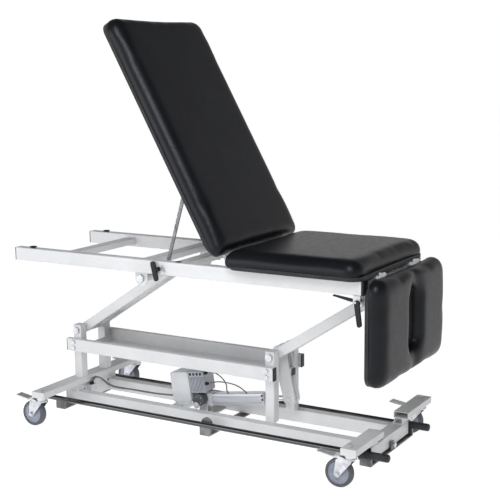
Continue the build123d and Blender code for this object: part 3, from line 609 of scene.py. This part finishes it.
def control_box():
    """The box's shell, its ribbed block with sockets, the cable glands, and the bracket with its screws."""
    seam = [(-0.0362, 0.0), (-0.0360, 0.0009), (-0.0346, 0.0009), (-0.0344, 0.0)]
    main = slab((-0.113, -0.028), (0.002, 0.122), (-0.060, 0.040), 0.009, 0.003, "xzy", seam)
    box = on_actuator("control_box_shell", [main], HOUSING, "grey_housing", 30.0)
    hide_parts("control_box")
    block = slab((-0.0278, 0.040), (0.036, 0.122), (-0.0545, 0.020), 0.006, 0.002, "xzy")
    fins = [slab((x, x + 0.0028), (0.0405, 0.100), (-0.0598, -0.0535), 0.0012, 0.0008, "xzy")
            for x in np.arange(-0.0235, 0.036, 0.0066)]
    ledge = slab((-0.0262, 0.0385), (0.1035, 0.1205), (-0.0600, -0.0535), 0.003, 0.001, "xzy")
    on_actuator("control_box_ribs", [block, *fins, ledge], RIBS, "grey_housing", 30.0)
    sockets = [slab((x, x + 0.0105), (0.1062, 0.1172), (-0.0606, -0.0590), 0.0015, 0.0004, "xzy")
               for x in (-0.022, -0.0062, 0.0096, 0.0250)]
    on_actuator("control_box_sockets", sockets, PLASTIC, "black_plastic")
    gland = [(0.0035, 0.0), (0.0070, 0.0), (0.0070, 0.004), (0.0056, 0.0046), (0.0056, 0.009),
             (0.0040, 0.013), (0.0030, 0.013)]
    glands = [lathe(gland, Vector((0.0398, -0.042, z)), "x", 24, True) for z in (0.112, 0.070)]
    on_actuator("cable_glands", glands, PLASTIC, "black_plastic")
    plate = [slab((-0.108, -0.022), (-0.012, 0.0045), (-0.0562, -0.0540), 0.006, 0.0006, "xzy"),
             slab((-0.108, -0.030), (-0.0120, -0.0100), (-0.055, 0.034), 0.001, 0.0006, "xzy")]
    on_actuator("control_box_bracket", plate, HOUSING, "grey_housing")
    screw = [(0.0002, -0.0016), (0.0026, -0.0016), (0.0032, -0.0006), (0.0032, 0.001), (0.0002, 0.001)]
    fixings = [lathe(screw, Vector((x, -0.0562, -0.004)), "y", 18) for x in (-0.100, -0.034)]
    on_actuator("bracket_screws", fixings, ZINC, "zinc_steel")


def actuator_cables():
    """The two short cables from the control box's glands to the actuator."""
    loops = {
        "motor_cable": [(-30, -42, 236), (-14, -43, 239), (8, -44, 236), (30, -43, 222), (43, -40, 204),
                        (44, -34, 188), (38, -26, 172), (36, -16, 160), (36, -6, 150)],
        "sensor_cable": [(-26, -42, 195), (-10, -42, 200), (12, -42, 205), (40, -41, 206), (68, -38, 204),
                         (92, -33, 197), (108, -26, 186), (116, -17, 174), (118, -6, 163)],
    }
    for name, points in loops.items():
        wire(name, points, LEAD_RADIUS, CABLE, "actuator")


def control_cables():
    """The two cables from the bar switch to the control box, and the boots they leave by."""
    for name, points in (("near", NEAR_CABLE), ("far", FAR_CABLE)):
        cable = wire(f"control_cable_{name}", points, CABLE_RADIUS, CABLE, "base")
        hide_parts("control_cables")
        start = mm(*points[0])
        boot = [(0.0031, -0.0006), (0.0058, -0.0006), (0.0058, 0.002), (0.0048, 0.003), (0.0038, 0.013),
                (0.0031, 0.013)]
        piece(f"switch_boot_{name}", *lathe(boot, start, "z", 24, True), PLASTIC, "base", "black_plastic")


# ---- small parts on the frame ----
def bumpers():
    """Mushroom-headed rubber buffers on the top rails: tall under the back's end, low in the middle."""
    low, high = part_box("rail_bumpers")
    tall_radius, low_radius, low_rise = 0.013, 0.010, 0.0023
    places = (("back", low.x + tall_radius, tall_radius, high.z - low.z),
              ("middle", high.x - low_radius, low_radius, low_rise))
    for name, x, radius, rise in places:
        profile = [(0.0003, 0.0), (radius * 0.62, 0.0), (radius * 0.62, rise * 0.3),
                   (radius * 1.1, rise * 0.46), (radius * 1.15, rise * 0.7), (radius, rise * 0.92),
                   (radius * 0.7, rise), (0.0003, rise)]
        for side, y in (("near", low.y + tall_radius), ("far", high.y - tall_radius)):
            buffer = piece(f"{name}_bumper_{side}", *lathe(profile, Vector((x, y, low.z)), "z", 36), RUBBER,
                           "top_frame", "black_rubber")
            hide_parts("rail_bumpers")


def lever_spacer_plug():
    """The black plug in the open end of the spacer tube between the lift lever's plates."""
    plug = slab((-0.0150, 0.0150), (0.2630, 0.2890), (0.3158, 0.3185), 0.003, 0.0009, "yzx")
    piece("lever_spacer_plug", *plug, PLASTIC, "right_arm", "black_plastic")


def end_plate_screws():
    """Black screws in the left end plate."""
    profile = [(0.0003, 0.0020), (0.0030, 0.0020), (0.0042, 0.0010), (0.0042, -0.0004), (0.0003, -0.0004)]
    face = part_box("left_end_plate")[1].x
    places = ((-0.013, 0.098), (-0.079, 0.095), (0.079, 0.095))
    screws = [lathe(profile, Vector((face, y, z)), "x", 20) for y, z in places]
    piece("end_plate_screws", *merged(screws), PLASTIC, "base", "black_plastic")


# ---- release levers ----
def lever_details():
    """The back lever's nub, return spring and hook; the head lever's screw and pull wire."""
    pivot = [1000 * value for value in JOINTS["back_release"]["pos_m"]]
    profile = [(0.0002, -0.007), (0.0040, -0.007), (0.0052, -0.0055), (0.0056, 0.0), (0.0002, 0.0)]
    nub = lathe(profile, mm(pivot[0], -266.0, pivot[2]), "y", 24)
    piece("back_lever_nub", *nub, PLASTIC, "back_lever", "black_plastic")
    turns, length, coil_radius, lean = 9, 26.0, 3.4, 0.45
    coil = []
    for step in range(turns * 8 + 1):
        angle = math.pi * step / 4
        drop = length * step / (turns * 8)
        coil.append((pivot[0] + 13.0 + lean * drop + coil_radius * math.cos(angle),
                     -260.5 + coil_radius * math.sin(angle), 690.0 - drop))
    wire("back_lever_spring", coil, 0.0007, ZINC, "top_frame")
    hook = [(pivot[0] + 25, -260.5, 664), (pivot[0] + 27, -260.5, 656), (pivot[0] + 29, -261, 646),
            (pivot[0] + 25, -261, 638), (pivot[0] + 21, -260, 644), (pivot[0] + 22, -259, 652)]
    wire("back_lever_hook", hook, 0.0009, ZINC, "top_frame")
    pivot = [1000 * value for value in JOINTS["head_release"]["pos_m"]]
    profile = [(0.0002, -0.0032), (0.0036, -0.0032), (0.0044, -0.0020), (0.0044, 0.001), (0.0002, 0.001)]
    screw = lathe(profile, mm(pivot[0] + 1, -272.0, pivot[2] + 2), "y", 20)
    piece("head_lever_screw", *screw, ZINC, "head_lever", "zinc_steel")
    pull = [(pivot[0] - 96, -251, 642), (pivot[0] - 66, -252, 637), (pivot[0] - 30, -252, 629),
            (pivot[0] - 8, -252, 624)]
    wire("head_lever_wire", pull, 0.0009, ZINC, "head_lever")


def carried_over_nodes():
    """Every CAD node takes its own or its slot's finish; painted and black plastic ones get rounded edges."""
    for part in frame["record"]["subparts"]:
        node = frame["nodes"][part["node"]]
        node.data.materials.clear()
        node.data.materials.append(NODE_FINISH.get(part["node"], SLOT_FINISH[part["material_slot"]]))
        if part["material_slot"] in ("white_powder_coat", "black_plastic"):
            weld = node.modifiers.new("weld", "WELD")
            weld.merge_threshold = 0.00001
            bevel = node.modifiers.new("edges", "BEVEL")
            bevel.width = EDGE_WIDTH
            bevel.segments = 2
            bevel.limit_method = "ANGLE"
            bevel.angle_limit = math.radians(50.0)
            bevel.harden_normals = True


# ---- studio ----
def studio():
    """Plain floor, soft light and the camera."""
    bpy.ops.mesh.primitive_plane_add(size=60.0, location=(0.0, 0.0, 0.0))
    floor = bpy.context.object
    floor.name = "studio_floor"
    floor.data.materials.append(STUDIO)
    world = bpy.data.worlds.new("studio")
    bpy.context.scene.world = world
    world.use_nodes = True
    tree = world.node_tree
    background = tree.nodes["Background"]
    background.inputs["Color"].default_value = (1.0, 1.0, 1.0, 1.0)
    # the sky is bright at the horizon and dim overhead, and a little darker towards +X
    coords = tree.nodes.new("ShaderNodeTexCoord")
    split = tree.nodes.new("ShaderNodeSeparateXYZ")
    tree.links.new(coords.outputs["Generated"], split.inputs["Vector"])
    fade = tree.nodes.new("ShaderNodeMapRange")
    for socket, value in zip(list(fade.inputs)[1:5], (0.06, 0.6, 1.02, 0.10)):
        socket.default_value = value
    tree.links.new(split.outputs["Z"], fade.inputs["Value"])
    side = tree.nodes.new("ShaderNodeMapRange")
    for socket, value in zip(list(side.inputs)[1:5], (-0.1, 0.5, 1.0, 0.80)):
        socket.default_value = value
    tree.links.new(split.outputs["X"], side.inputs["Value"])
    blend = tree.nodes.new("ShaderNodeMath")
    blend.operation = "MULTIPLY"
    tree.links.new(fade.outputs["Result"], blend.inputs[0])
    tree.links.new(side.outputs["Result"], blend.inputs[1])
    tree.links.new(blend.outputs["Value"], background.inputs["Strength"])
    lights = (
        ("key", (-2.0, -3.6, 1.2), (0.0, 0.0, 0.6), (2.4, 1.8), 40.0),
        ("edge", (1.1, -2.3, 2.9), (-0.3, -0.2, 0.9), (1.1, 1.8), 60.0),
    )
    for name, place, aim, size, power in lights:
        data = bpy.data.lights.new(name, "AREA")
        data.shape = "RECTANGLE"
        data.size, data.size_y = size
        data.energy = power
        data.color = (0.93, 0.96, 1.0)
        light = bpy.data.objects.new(name, data)
        light.location = place
        light.rotation_euler = (Vector(aim) - Vector(place)).to_track_quat("-Z", "Y").to_euler()
        bpy.context.scene.collection.objects.link(light)
    azimuth, pitch, roll = (math.radians(value) for value in (CAMERA_AZIMUTH, CAMERA_PITCH, CAMERA_ROLL))
    level = Vector((math.sin(azimuth), -math.cos(azimuth), 0.0))
    back = level * math.cos(pitch) + Vector((0.0, 0.0, math.sin(pitch)))
    right = Vector((math.cos(azimuth), math.sin(azimuth), 0.0))
    up = back.cross(right)
    turned_right = math.cos(roll) * right + math.sin(roll) * up
    turned_up = math.cos(roll) * up - math.sin(roll) * right
    data = bpy.data.cameras.new("camera")
    data.lens = CAMERA_LENS
    data.sensor_width = 36.0
    camera = bpy.data.objects.new("camera", data)
    place = Matrix((turned_right, turned_up, back)).transposed().to_4x4()
    place.translation = CAMERA_PLACE
    camera.matrix_world = place
    bpy.context.scene.collection.objects.link(camera)
    bpy.context.scene.camera = camera
    bpy.context.scene.view_settings.view_transform = "Standard"


studio()
carried_over_nodes()
cushions()
casters()
foot_bar_grips()
actuator_tube()
actuator_castings()
gear_motor()
control_box()
actuator_cables()
control_cables()
bumpers()
lever_spacer_plug()
end_plate_screws()
lever_details()
